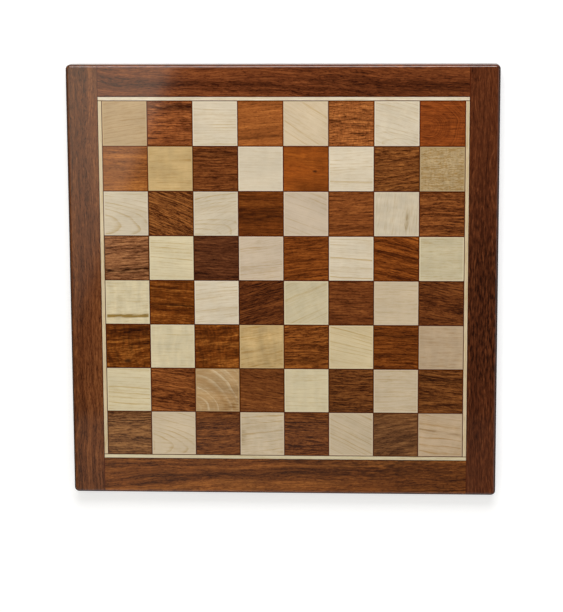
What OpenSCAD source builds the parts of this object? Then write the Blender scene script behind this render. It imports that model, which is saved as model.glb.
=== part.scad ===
// A flat wooden chessboard: 64 solid squares on a core panel, edged with pale stringing and framed.
// It lies as it is used: +Z up out of the playing surface, +Y toward the eighth rank, +X toward the
// h file. The origin is on the table, under the middle of the board.
// All sizes are in millimetres.

/* [Playing field] */
// Side of one square
square_size = 50; // [38:1:57]
// Thickness of the squares and of the stringing
square_t = 5; // [3:0.5:7]
// Width of the pale strip round the field
string_w = 4.5; // [2:0.5:8]
// Chamfer on the top arrises that meet at a glue line
ease = 0.3; // [0.1:0.1:0.8]

/* [Frame] */
// Thickness of the board, without its feet
board_t = 20; // [18:1:26]
// Width of the left stile
stile_left_w = 35; // [32:1:50]
// Width of the right stile
stile_right_w = 33; // [32:1:50]
// Width of the rail behind the eighth rank
rail_top_w = 35; // [32:1:50]
// Width of the rail in front of the first rank
rail_bottom_w = 40; // [32:1:50]
// Radius of the board's four corners, seen from above
corner_r = 5; // [4:0.5:10]
// Radius of the outer arris round the top
top_arris_r = 3.5; // [1:0.5:4]
// Radius of the outer arris round the underside
under_arris_r = 2; // [1:0.5:4]

/* [Panel] */
// Thickness of the lining under the core
back_t = 3; // [2:0.5:4]

/* [Joinery] */
// Thickness of the loose tongues
tongue_t = 4; // [3:0.5:5]
// Depth of each slot that a tongue sits in
slot_depth = 6; // [4:0.5:9]
// Distance from the ends of the panel to the ends of the slots
slot_inset = 28; // [24:1:60]
// Diameter of the dowels
dowel_d = 8; // [5:1:9]
// How far a dowel reaches into each piece
dowel_reach = 18; // [12:1:21]
// Distance between the two dowels of a corner
dowel_pitch = 16; // [12:1:18]
// Chamfer on the ends of the dowels
dowel_chamfer = 1; // [0.5:0.25:1.5]
// Room left for glue at the ends of the dowels and round the edges of the tongues
glue_room = 0.5; // [0.2:0.1:1]

/* [Feet] */
// Diameter of the felt pads
pad_d = 20; // [14:1:26]
// Thickness of the felt pads
pad_t = 2; // [1:0.5:4]
// Distance from the ends of the stiles to the middle of the pads
pad_inset = 24; // [18:1:60]

/* [Hidden] */
$fn = 72;
// How far a cutting shape runs past the face that it cuts
cut = 1;
// A chessboard's squares a side
files = 8;
// Squares of one timber in one node: half of those in a rank
squares_in_node = 2;

// The panel is the field with its stringing
field_w = files * square_size;
panel_w = field_w + 2 * string_w;
board_w = stile_left_w + panel_w + stile_right_w;
board_l = rail_bottom_w + panel_w + rail_top_w;
panel_x = -board_w / 2 + stile_left_w;
panel_y = -board_l / 2 + rail_bottom_w;
field_x = panel_x + string_w;
field_y = panel_y + string_w;

// Heights, from the table upwards
frame_z = pad_t;
core_z = frame_z + back_t;
square_z = frame_z + board_t - square_t;
core_t = square_z - core_z;
tongue_z = core_z + core_t / 2;
dowel_z = frame_z + board_t / 2;

slot_len = panel_w - 2 * slot_inset;
tongue_w = 2 * (slot_depth - glue_room);
tongue_len = slot_len - 2 * glue_room;

pale_wood = "#dcc9a0";
dark_wood = "#7a4526";
frame_wood = "#5c321c";
ply_wood = "#b99464";
felt = "#2f4a36";

file_letters = "abcdefgh";

// The square at file 0 of rank 0 is dark, and the colours alternate from it
function first_file(rank, dark, half) = half * files / 2 + (rank + (dark ? 0 : 1)) % 2;
function square_name(rank, file) = str(file_letters[file], rank + 1);
function squares_name(rank, dark, half) =
    let (file = first_file(rank, dark, half))
    str("squares_", square_name(rank, file), "_", square_name(rank, file + 2));

SQUARE_NODES = [
    for (rank = [0 : files - 1]) for (dark = [true, false]) for (half = [0, 1])
        squares_name(rank, dark, half)
];

// Section of a block whose two top arrises are eased
function eased_section(w, t) =
    [[0, 0], [w, 0], [w, t - ease], [w - ease, t], [ease, t], [0, t - ease]];

// A block of w by d by t with all four top arrises eased
module eased_block(w, d, t) {
    intersection() {
        translate([0, d, 0]) rotate([90, 0, 0]) linear_extrude(d) polygon(eased_section(w, t));
        rotate([90, 0, 90]) linear_extrude(w) polygon(eased_section(d, t));
    }
}

// What a rounded arris of radius r takes off a square corner, from its centre outwards
module arris_waste(r) {
    difference() {
        square(r + cut);
        circle(r);
    }
}

// Section of a frame member: the inner face at x = 0, and both arrises of the outer face rounded
module member_section(w) {
    difference() {
        square([w, board_t]);
        translate([w - top_arris_r, board_t - top_arris_r]) arris_waste(top_arris_r);
        translate([w - under_arris_r, under_arris_r]) mirror([0, 1]) arris_waste(under_arris_r);
    }
}

// The slot of one tongue, centred on the edge of the panel and running along Y
module slot() {
    cube([2 * slot_depth, slot_len, tongue_t], center = true);
}

// Bore for one dowel, centred on the joint and running along X
module dowel_bore() {
    rotate([0, 90, 0]) cylinder(d = dowel_d, h = 2 * (dowel_reach + glue_room), center = true);
}

// Puts its children where each dowel of one rail end goes, from the middle of that end's joint
module at_dowels() {
    for (side = [-1, 1]) translate([0, side * dowel_pitch / 2, 0]) children();
}

// A full-height stile of width w: inner face at x = 0, outer face at x = w, middle at y = 0
module stile_blank(w) {
    straight_l = board_l - 2 * corner_r;
    translate([0, straight_l / 2, 0])
        rotate([90, 0, 0]) linear_extrude(straight_l) member_section(w);
    for (end = [0, 1]) mirror([0, end, 0]) translate([0, straight_l / 2, 0]) {
        rotate([90, 0, 90]) linear_extrude(w - corner_r) member_section(corner_r);
        translate([w - corner_r, 0, 0]) rotate_extrude(angle = 90) member_section(corner_r);
    }
}

// A stile with its slot and dowel bores, in place on the right of the panel
module stile(w) {
    translate([0, 0, frame_z]) difference() {
        stile_blank(w);
        translate([0, panel_y + panel_w / 2, tongue_z - frame_z]) slot();
        for (y = [panel_y - rail_bottom_w / 2, panel_y + panel_w + rail_top_w / 2])
            translate([0, y, dowel_z - frame_z]) at_dowels() dowel_bore();
    }
}

// A rail of width w with its slot and dowel bores: inner face at y = 0, middle at x = 0
module rail(w) {
    difference() {
        translate([-panel_w / 2, 0, frame_z])
            rotate([90, 0, 90]) linear_extrude(panel_w) member_section(w);
        translate([0, 0, tongue_z]) rotate([0, 0, 90]) slot();
        for (end = [-1, 1])
            translate([end * panel_w / 2, w / 2, dowel_z]) at_dowels() dowel_bore();
    }
}

// Two squares of one timber, a square of the other timber apart
module squares(rank, dark, half) {
    color(dark ? dark_wood : pale_wood)
        for (n = [0 : squares_in_node - 1])
            translate([
                field_x + (first_file(rank, dark, half) + 2 * n) * square_size,
                field_y + rank * square_size,
                square_z
            ])
                eased_block(square_size, square_size, square_t);
}

// The long strips close the corners of the stringing
module stringing_across(y) {
    color(pale_wood) translate([panel_x, y, square_z]) eased_block(panel_w, string_w, square_t);
}

module stringing_upright(x) {
    color(pale_wood) translate([x, field_y, square_z]) eased_block(string_w, field_w, square_t);
}

// The core fills the frame under the squares and takes half of each tongue
module core_panel() {
    color(ply_wood) translate([panel_x, panel_y, core_z]) difference() {
        cube([panel_w, panel_w, core_t]);
        for (edge = [0, panel_w]) {
            translate([edge, panel_w / 2, core_t / 2]) slot();
            translate([panel_w / 2, edge, core_t / 2]) rotate([0, 0, 90]) slot();
        }
    }
}

// The lining's lower arrises are eased, as the squares' top arrises are
module back_panel() {
    color(ply_wood) translate([panel_x, panel_y, core_z])
        mirror([0, 0, 1]) eased_block(panel_w, panel_w, back_t);
}

module stile_left() {
    color(frame_wood) translate([panel_x, 0, 0]) mirror([1, 0, 0]) stile(stile_left_w);
}

module stile_right() {
    color(frame_wood) translate([panel_x + panel_w, 0, 0]) stile(stile_right_w);
}

module rail_top() {
    color(frame_wood)
        translate([panel_x + panel_w / 2, panel_y + panel_w, 0]) rail(rail_top_w);
}

module rail_bottom() {
    color(frame_wood)
        translate([panel_x + panel_w / 2, panel_y, 0]) mirror([0, 1, 0]) rail(rail_bottom_w);
}

// A tongue runs along Y, centred on the edge of the panel
module tongue() {
    cube([tongue_w, tongue_len, tongue_t], center = true);
}

module tongue_upright(x) {
    color(ply_wood) translate([x, panel_y + panel_w / 2, tongue_z]) tongue();
}

module tongue_across(y) {
    color(ply_wood) translate([panel_x + panel_w / 2, y, tongue_z]) rotate([0, 0, 90]) tongue();
}

// A round dowel with chamfered ends, centred on its joint and running along X
module dowel() {
    r = dowel_d / 2;
    rotate([0, 90, 0]) rotate_extrude() polygon([
        [0, -dowel_reach], [r - dowel_chamfer, -dowel_reach], [r, dowel_chamfer - dowel_reach],
        [r, dowel_reach - dowel_chamfer], [r - dowel_chamfer, dowel_reach], [0, dowel_reach]
    ]);
}

// The two dowels of one corner, at the joint at x and about the middle of the rail at y
module dowels(x, y) {
    color(pale_wood) translate([x, y, dowel_z]) at_dowels() dowel();
}

// A round felt pad under the middle of a stile: side and end are -1 or 1
module foot_pad(side, end) {
    inner_x = side < 0 ? panel_x : panel_x + panel_w;
    stile_w = side < 0 ? stile_left_w : stile_right_w;
    color(felt)
        translate([inner_x + side * stile_w / 2, end * (board_l / 2 - pad_inset), 0])
            cylinder(d = pad_d, h = pad_t);
}

for (rank = [0 : files - 1]) for (dark = [true, false]) for (half = [0, 1])
    squares(rank, dark, half);

stringing_across(field_y + field_w);  // stringing_top
stringing_across(panel_y);  // stringing_bottom
stringing_upright(panel_x);  // stringing_left
stringing_upright(field_x + field_w);  // stringing_right

core_panel();
back_panel();

stile_left();
stile_right();
rail_top();
rail_bottom();

tongue_upright(panel_x);  // tongue_left
tongue_upright(panel_x + panel_w);  // tongue_right
tongue_across(panel_y + panel_w);  // tongue_top
tongue_across(panel_y);  // tongue_bottom

dowels(panel_x, panel_y + panel_w + rail_top_w / 2);  // dowels_top_left
dowels(panel_x + panel_w, panel_y + panel_w + rail_top_w / 2);  // dowels_top_right
dowels(panel_x, panel_y - rail_bottom_w / 2);  // dowels_bottom_left
dowels(panel_x + panel_w, panel_y - rail_bottom_w / 2);  // dowels_bottom_right

foot_pad(-1, -1);  // foot_pad_front_left
foot_pad(1, -1);  // foot_pad_front_right
foot_pad(-1, 1);  // foot_pad_back_left
foot_pad(1, 1);  // foot_pad_back_right
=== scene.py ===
"""A wooden chessboard: its squares, stringing, frame, lining, joinery, felt pads and the studio round it."""

import math
import random
from typing import NamedTuple

import bmesh
import bpy
from bpy.props import FloatProperty, FloatVectorProperty, IntProperty, PointerProperty
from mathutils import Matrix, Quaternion, Vector


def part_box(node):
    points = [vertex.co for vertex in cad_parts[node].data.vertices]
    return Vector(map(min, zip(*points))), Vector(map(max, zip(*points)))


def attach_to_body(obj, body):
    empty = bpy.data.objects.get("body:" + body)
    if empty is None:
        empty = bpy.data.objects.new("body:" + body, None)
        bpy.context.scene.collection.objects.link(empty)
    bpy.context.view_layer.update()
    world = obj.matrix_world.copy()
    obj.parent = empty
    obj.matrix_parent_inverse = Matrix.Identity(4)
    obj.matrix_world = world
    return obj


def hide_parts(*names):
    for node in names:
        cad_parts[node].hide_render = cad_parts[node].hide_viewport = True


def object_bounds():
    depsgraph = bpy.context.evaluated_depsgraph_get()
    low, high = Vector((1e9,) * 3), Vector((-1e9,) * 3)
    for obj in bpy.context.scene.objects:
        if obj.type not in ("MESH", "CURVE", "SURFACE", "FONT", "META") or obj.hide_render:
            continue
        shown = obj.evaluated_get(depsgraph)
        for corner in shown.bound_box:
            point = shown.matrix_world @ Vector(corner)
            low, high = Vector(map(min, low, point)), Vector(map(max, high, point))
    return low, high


bl_info = {
    "name": "Chessboard",
    "version": (1, 0, 0),
    "blender": (4, 5, 0),
    "location": "View3D > Sidebar > Chessboard",
    "description": "Builds a framed wooden chessboard piece by piece round its CAD model",
    "category": "Object",
}

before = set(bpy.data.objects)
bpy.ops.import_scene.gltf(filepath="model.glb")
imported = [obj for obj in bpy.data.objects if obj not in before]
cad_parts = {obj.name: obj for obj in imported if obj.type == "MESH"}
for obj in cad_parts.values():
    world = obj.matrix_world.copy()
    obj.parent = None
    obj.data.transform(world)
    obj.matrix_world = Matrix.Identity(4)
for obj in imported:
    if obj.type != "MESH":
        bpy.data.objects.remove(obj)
CAD_BOX = [list(corner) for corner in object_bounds()]
FILES = "abcdefgh"
SQUARES = len(FILES) ** 2
MM = 1000.0
ORIGIN = (0.0, 0.0, 0.0)
WHITE = (1.0, 1.0, 1.0, 1.0)

# The node that holds squares a1 and c1 starts at the corner of the field and reaches over three squares,
# b1 included. The side and the thickness of every square come from it.
FIRST_LOW, FIRST_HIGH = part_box("squares_a1_c1")
FIRST_REACH = 3
SQUARE_SIDE = (FIRST_HIGH.x - FIRST_LOW.x) / FIRST_REACH
SQUARE_THICK = FIRST_HIGH.z - FIRST_LOW.z

# The turn of the grain, in degrees, in a piece that lies across the board and in one that runs up it
LEVEL = 0.0
UPRIGHT = -90.0
# A place well outside the board, in metres: the side of a glue box that lies there draws no line.
AWAY = 1.0
# Half the length, in millimetres, of a streak that runs past both ends of its piece
ENDLESS = 100000.0

# Where in its plank a square may be cut: along it, across it and how deep, in millimetres
PLANK_SPANS = ((0.0, 900.0), (-200.0, 200.0), (0.0, 18.0))
# Where a far pith may run: how far below the square and how deep, in millimetres, and its tilt
PITH_SPANS = ((35.0, 75.0), (15.0, 50.0), (-0.08, 0.08))


def tint(red, green, blue):
    """A colour as the eye reads it, 0 to 255, turned into the light values that a shader takes."""
    shares = (red / 255, green / 255, blue / 255)
    return tuple(s / 12.92 if s <= 0.04045 else ((s + 0.055) / 1.055) ** 2.4 for s in shares)


def timber_colour(label, words, red, green, blue):
    """A colour that the user may change, with its default."""
    return FloatVectorProperty(
        name=label,
        description=words,
        default=tint(red, green, blue),
        size=3,
        min=0.0,
        max=1.0,
        subtype="COLOR",
    )


def distance(label, words, default, low, high):
    """A length in metres that the user may change."""
    return FloatProperty(
        name=label,
        description=words,
        default=default,
        min=low,
        max=high,
        subtype="DISTANCE",
        unit="LENGTH",
    )


def brightness(label, words, default):
    """The level of a lamp, which the user may change."""
    return FloatProperty(name=label, description=words, default=default, min=0.0)


# What a user may change


class BoardSizes(bpy.types.PropertyGroup):
    """Small sizes that the squares and pads are finished to."""

    square_ease: distance(
        "Square arris", "Radius of the eased edge round the top of each square", 0.00005, 0.00002, 0.001
    )
    glue_width: distance(
        "Glue line", "How far a dark glue line runs in from the side of a piece", 0.00036, 0.0, 0.001
    )
    felt_crown: distance(
        "Felt rim", "Radius that the rim of a felt pad is pressed to", 0.0007, 0.0002, 0.0009
    )
    plank_seed: IntProperty(
        name="Plank seed",
        description="Chooses where in its plank each square is cut",
        default=11,
        min=0,
    )


class TimberColours(bpy.types.PropertyGroup):
    """The clear colour of each timber on the board, between its lines and streaks."""

    white_maple: timber_colour("White maple", "The palest squares", 225, 210, 185)
    cream_maple: timber_colour("Cream maple", "Pale squares with no cast", 215, 200, 175)
    pink_maple: timber_colour("Pink maple", "Plain pale squares with a rosy cast", 215, 195, 170)
    straw_maple: timber_colour("Straw maple", "Pale squares with a yellow cast", 220, 205, 170)
    tan_maple: timber_colour("Tan maple", "Pale squares with a warm cast", 210, 190, 160)
    beige_maple: timber_colour("Beige maple", "The duller pale squares", 190, 165, 135)
    sandy_maple: timber_colour("Sandy maple", "The tan square in the top corner", 195, 165, 125)
    honey_maple: timber_colour("Honey maple", "The pale square with a strong yellow cast", 220, 200, 160)
    yellow_maple: timber_colour("Yellow maple", "Pale squares with a golden cast", 200, 170, 120)
    olive_maple: timber_colour("Olive maple", "The speckled pale square", 180, 155, 115)
    caramel_maple: timber_colour("Caramel maple", "The pale square with bent light streaks", 185, 150, 105)
    amber_walnut: timber_colour("Amber walnut", "The dark square with a small knot", 140, 70, 20)
    figured_walnut: timber_colour("Figured walnut", "The dark square with fine cross figure", 150, 85, 40)
    flame_walnut: timber_colour("Flame walnut", "Dark squares with golden flames", 120, 60, 15)
    russet_walnut: timber_colour("Russet walnut", "Dark squares with a warm glow", 130, 65, 20)
    orange_walnut: timber_colour("Orange walnut", "The brightest dark square", 160, 90, 40)
    copper_walnut: timber_colour("Copper walnut", "The banded dark square in the top rank", 140, 75, 35)
    swirled_walnut: timber_colour("Swirled walnut", "The dark square with ringed figure", 145, 70, 25)
    rosy_walnut: timber_colour("Rosy walnut", "The dark square with a light pinkish cast", 155, 90, 40)
    red_walnut: timber_colour("Red walnut", "Plain dark squares", 130, 70, 30)
    golden_walnut: timber_colour("Golden walnut", "Dark squares with golden lines", 125, 70, 30)
    ash_walnut: timber_colour("Ash walnut", "Dark squares with grey-brown lines", 120, 75, 40)
    chocolate_walnut: timber_colour("Chocolate walnut", "The deeper dark squares", 115, 60, 25)
    umber_walnut: timber_colour("Umber walnut", "Dull dark squares near the front", 110, 60, 25)
    dusky_walnut: timber_colour("Dusky walnut", "The reddish square with dark stripes", 120, 75, 45)
    sable_walnut: timber_colour("Sable walnut", "The coldest dark square", 95, 50, 25)
    toffee_walnut: timber_colour("Toffee walnut", "The even golden-brown square", 130, 70, 25)
    black_walnut: timber_colour("Black walnut", "The darkest squares", 100, 50, 20)
    rail_top: timber_colour("Top rail", "Timber of the top rail", 110, 55, 25)
    rail_bottom: timber_colour("Bottom rail", "Timber of the bottom rail", 120, 65, 25)
    stile_left: timber_colour("Left stile", "Timber of the left stile", 110, 60, 30)
    stile_right: timber_colour("Right stile", "Timber of the right stile", 100, 50, 25)
    white_strip: timber_colour("White strip", "Stringing along the top", 230, 215, 190)
    cream_strip: timber_colour("Cream strip", "Stringing along the bottom", 220, 205, 170)
    yellow_strip: timber_colour("Yellow strip", "Stringing along the left and right", 220, 200, 165)
    lining: timber_colour("Lining", "Veneered lining underneath", 195, 170, 130)
    plywood: timber_colour("Plywood", "Core that carries the squares", 205, 180, 140)
    beech: timber_colour("Beech", "Tongues and dowels", 215, 175, 135)
    felt: timber_colour("Felt", "Pads under the corners", 45, 60, 50)
    glue: timber_colour("Glue line", "Dark line between neighbours", 75, 25, 5)


class StudioSettings(bpy.types.PropertyGroup):
    """Lamps, floor and camera."""

    key_level: brightness("Key lamp", "Brightness of the lamp beyond the top rail", 9.4)
    panel_level: brightness("Side panel", "Brightness of the soft panel over the left side", 1.6)
    fill_level: brightness("Fill lamp", "Brightness of the lamp on the right", 0.8)
    front_level: brightness("Front lamp", "Brightness of the lamp before the bottom rail", 1.0)
    room_level: brightness("Room light", "Even light from all round", 0.05)
    floor_colour: timber_colour("Floor", "Plain pale floor and walls", 205, 205, 205)
    lens: FloatProperty(
        name="Lens",
        description="Focal length of the camera in millimetres",
        default=127.97,
        min=20.0,
        max=400.0,
        unit="CAMERA",
    )


# How trees are built


class Tree:
    """Adds nodes to one node tree and joins them up."""

    def __init__(self, tree):
        self.tree = tree

    def add(self, kind, feeds=None, **settings):
        node = self.tree.nodes.new(kind)
        for name, value in settings.items():
            setattr(node, name, value)
        for socket, value in (feeds or {}).items():
            self.feed(node.inputs[socket], value)
        return node

    def feed(self, socket, value):
        if isinstance(value, bpy.types.NodeSocket):
            self.tree.links.new(value, socket)
        else:
            socket.default_value = value

    def math(self, operation, *values, clamp=False):
        node = self.add("ShaderNodeMath", operation=operation, use_clamp=clamp)
        for socket, value in zip(node.inputs, values):
            self.feed(socket, value)
        return node.outputs[0]

    def vector(self, operation, *values):
        node = self.add("ShaderNodeVectorMath", operation=operation)
        for socket, value in zip(node.inputs, values):
            self.feed(socket, value)
        return node.outputs["Value" if operation in ("LENGTH", "DISTANCE") else "Vector"]

    def times(self, vector, factor):
        node = self.add("ShaderNodeVectorMath", {0: vector}, operation="SCALE")
        self.feed(node.inputs["Scale"], factor)
        return node.outputs["Vector"]

    def axes(self, vector):
        return self.add("ShaderNodeSeparateXYZ", {0: vector}).outputs

    def noise(self, at, stretch, detail=2.0, roughness=0.5, output="Fac"):
        spread = self.vector("MULTIPLY", at, stretch)
        feeds = {"Vector": spread, "Scale": 1.0, "Detail": detail, "Roughness": roughness}
        return self.add("ShaderNodeTexNoise", feeds).outputs[output]

    def total(self, first, *others):
        for other in others:
            first = self.math("ADD", first, other)
        return first

    def product(self, first, *others):
        for other in others:
            first = self.math("MULTIPLY", first, other)
        return first

    def bell(self, value, steepness):
        """One where the value is nought, falling to nought on both sides."""
        return self.math("EXPONENT", self.product(self.math("POWER", value, 2.0), -steepness))

    def swing(self, noise, amount):
        """Noise turned into a value about nought that reaches roughly plus and minus the amount."""
        return self.product(self.math("SUBTRACT", noise, 0.5), 3.0, amount)

    def veins(self, noise, dead, reach, amount):
        """Noise turned into crisp lines: plus the amount on its high parts and minus it on its low parts."""
        high = self.ramp(noise, 0.5 + dead, 0.5 + reach)
        low = self.ramp(noise, 0.5 - dead, 0.5 - reach)
        return self.product(self.math("SUBTRACT", high, low), amount)

    def ramp(self, value, low, high, start=0.0, end=1.0):
        feeds = {"Value": value, "From Min": low, "From Max": high, "To Min": start, "To Max": end}
        return self.add("ShaderNodeMapRange", feeds, interpolation_type="SMOOTHSTEP").outputs["Result"]

    def blend(self, share, first, second, way="MIX"):
        node = self.add("ShaderNodeMix", data_type="RGBA", blend_type=way)
        self.feed(node.inputs["Factor"], share)
        self.feed(node.inputs[6], first)
        self.feed(node.inputs[7], second)
        return node.outputs[2]

    def whole(self, red, green, blue):
        node = self.add("ShaderNodeCombineXYZ")
        for socket, value in zip(node.inputs, (red, green, blue)):
            self.feed(socket, value)
        return node.outputs[0]


# Kinds of sockets
NUMBER = "NodeSocketFloat"
VECTOR = "NodeSocketVector"
COLOUR = "NodeSocketColor"
GEOMETRY = "NodeSocketGeometry"


def opaque(colour):
    return (colour[0], colour[1], colour[2], 1.0)


def new_group(kind, name, inputs, outputs):
    """A node group with named inputs and outputs. Each input gives its kind and its default."""
    group = bpy.data.node_groups.new(name, kind)
    for label, (socket_kind, default) in inputs.items():
        socket = group.interface.new_socket(name=label, in_out="INPUT", socket_type=socket_kind)
        if default is not None:
            socket.default_value = default
    for label, socket_kind in outputs.items():
        group.interface.new_socket(name=label, in_out="OUTPUT", socket_type=socket_kind)
    tree = Tree(group)
    source = tree.add("NodeGroupInput").outputs
    sink = tree.add("NodeGroupOutput").inputs
    return group, tree, source, sink


def finished_mesh(shape, name):
    """The mesh of a shape that is done with."""
    mesh = bpy.data.meshes.new(name)
    shape.to_mesh(mesh)
    shape.free()
    return mesh


# Wood

WOOD_INPUTS = {
    "At": (VECTOR, ORIGIN),
    "Clear": (COLOUR, (0.5, 0.4, 0.3, 1.0)),
    "Streak": (COLOUR, (0.2, 0.1, 0.05, 1.0)),
    "Glow": (COLOUR, (0.6, 0.5, 0.4, 1.0)),
    "Pith": (VECTOR, (60.0, 30.0, 0.0)),
    "Wander": (NUMBER, 8.0),
    "Ripple": (NUMBER, 1.5),
    "Ring pitch": (NUMBER, 3.2),
    "Ring line": (NUMBER, 0.4),
    "Bands": (NUMBER, 0.2),
    "Band pitch": (NUMBER, 9.0),
    "Grain length": (NUMBER, 250.0),
    "Fibre": (NUMBER, 0.2),
    "Pores": (NUMBER, 0.0),
    "Cloud": (NUMBER, 0.06),
    "Curl": (NUMBER, 0.0),
    "Curl pitch": (NUMBER, 7.0),
    "Temper": (VECTOR, (1.0, 1.0, 0.0)),
    "Knot": (VECTOR, ORIGIN),
    "Own streak": (VECTOR, (0.0, 3.0, 0.0)),
    "Own reach": (VECTOR, (0.0, ENDLESS, 0.0)),
    "Shade": (NUMBER, 1.0),
}

# How often each kind of figure changes in a millimetre: along the grain, across it and into the plank
SLOW_DRIFT = (0.007, 0.028, 0.028)
QUICK_DRIFT = (0.045, 0.12, 0.12)
FAINT_PATCHES = (0.02, 0.09, 0.09)
LONG_FIBRES = (0.03, 0.85, 0.85)
SHORT_FLECKS = (0.1, 0.6, 0.6)
OPEN_PORES = (0.3, 1.1, 1.1)
SOFT_CLOUDS = (0.02, 0.05, 0.05)
RAGGED_EDGES = (0.1, 0.5, 0.5)

# A knot is twice as long along the grain as across it. Rings swell out round it, and its heart is dark.
KNOT_STRETCH = (0.6, 1.2, 0.0)
KNOT_SWELL = 1.6
KNOT_REACH = 0.3
KNOT_HEART = opaque(tint(40, 18, 8))
KNOT_COVER = 0.85
HEART_EDGES = (0.15, 0.8)
SMALLEST_KNOT = (0.3, 0.6)

# In each year's ring the dark line sets in at the first share of the year, and is darkest at the second.
LINE_FROM = 0.6
LINE_PEAK = 0.93
# How uneven the years are: how fast they change from one to the next, by how many years a line may shift,
# how dark the faintest year is, and how dark the lines are in the faintest and in the strongest patches
YEAR_CHANGE = 0.31
YEAR_SHIFT = 2.4
FAINTEST_YEAR = 0.2
PATCH_LEVELS = (0.5, 1.3)

# How far the noise behind each kind of line stands off its middle where the line sets in and where it is
# full. Pores and patches are given by the noise itself.
BAND_EDGES = (0.0, 0.13)
FIBRE_EDGES = (0.01, 0.14)
FLECK_EDGES = (0.02, 0.14)
PORE_EDGES = (0.52, 0.66)
PATCH_EDGES = (0.3, 0.7)
RAGGED_LEVELS = (0.3, 1.3)
MOTTLE_EDGES = (0.35, 0.65)
# How strong the flecks are beside the fibres, and how cross figure is drawn out across the grain and down
FLECK_SHARE = 0.8
CURL_STRETCH = 0.25
CURL_DEPTH = 0.02

# What the timber's streak colour is multiplied by where a piece has a streak of its own
DEEP_STREAK = (0.55, 0.48, 0.3, 1.0)


def bent_grain(t, at, wander, ripple):
    """The place in the plank, pushed aside by a slow and a quick drift, because grain wanders."""
    bent = at
    for reach, stretch in ((wander, SLOW_DRIFT), (ripple, QUICK_DRIFT)):
        drift = t.noise(at, stretch, output="Color")
        centred = t.vector("SUBTRACT", drift, (0.5, 0.5, 0.5))
        bent = t.vector("ADD", bent, t.times(centred, reach))
    return bent


def knot_distance(t, at, knot):
    """How far a point lies from the middle of the knot, measured in the size of the knot."""
    away = t.vector("MULTIPLY", t.vector("SUBTRACT", at, knot), KNOT_STRETCH)
    return t.math("DIVIDE", t.vector("LENGTH", away), t.math("MAXIMUM", t.axes(knot)["Z"], 0.001))


def ring_radius(t, place, pith):
    """How far a point lies from the pith, which may tilt."""
    across = t.total(place["Y"], pith["X"])
    depth = t.total(place["Z"], pith["Y"], t.product(place["X"], pith["Z"]))
    return t.vector("LENGTH", t.whole(across, depth, 0.0))


def year_lines(t, at, radius, pitch):
    """The dark line that ends each year's ring. No two years are equally wide or equally dark."""
    count = t.math("DIVIDE", radius, pitch)
    feeds = {"W": t.product(count, YEAR_CHANGE), "Scale": 1.0, "Detail": 1.0}
    uneven = t.add("ShaderNodeTexNoise", feeds, noise_dimensions="1D").outputs["Fac"]
    count = t.total(count, t.product(t.math("SUBTRACT", uneven, 0.5), YEAR_SHIFT))
    part = t.math("FRACT", count)
    rise = t.ramp(part, LINE_FROM, LINE_PEAK)
    fall = t.ramp(part, LINE_PEAK, 1.0, 1.0, 0.0)
    feeds = {"W": t.math("FLOOR", count)}
    year = t.add("ShaderNodeTexWhiteNoise", feeds, noise_dimensions="1D").outputs["Value"]
    faint = t.ramp(t.noise(at, FAINT_PATCHES, detail=1.0), *PATCH_EDGES, *PATCH_LEVELS)
    return t.product(rise, fall, t.ramp(year, 0.0, 1.0, FAINTEST_YEAR, 1.0), faint)


def own_streak_share(t, at, place, streak, reach):
    """How much a piece's own streak covers a point: most in its middle, and less towards its ragged edge."""
    aside = t.math("SUBTRACT", place["Y"], streak["X"])
    aside = t.math("DIVIDE", aside, t.math("MAXIMUM", streak["Y"], 0.1))
    ahead = t.math("SUBTRACT", t.axes(at)["X"], reach["X"])
    ahead = t.math("DIVIDE", ahead, t.math("MAXIMUM", reach["Y"], 0.1))
    share = t.bell(t.vector("LENGTH", t.whole(aside, ahead, 0.0)), 1.0)
    ragged = t.ramp(t.noise(at, RAGGED_EDGES, detail=3.0), *MOTTLE_EDGES, *RAGGED_LEVELS)
    return t.math("MULTIPLY", t.product(share, streak["Z"]), ragged, clamp=True)


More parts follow.
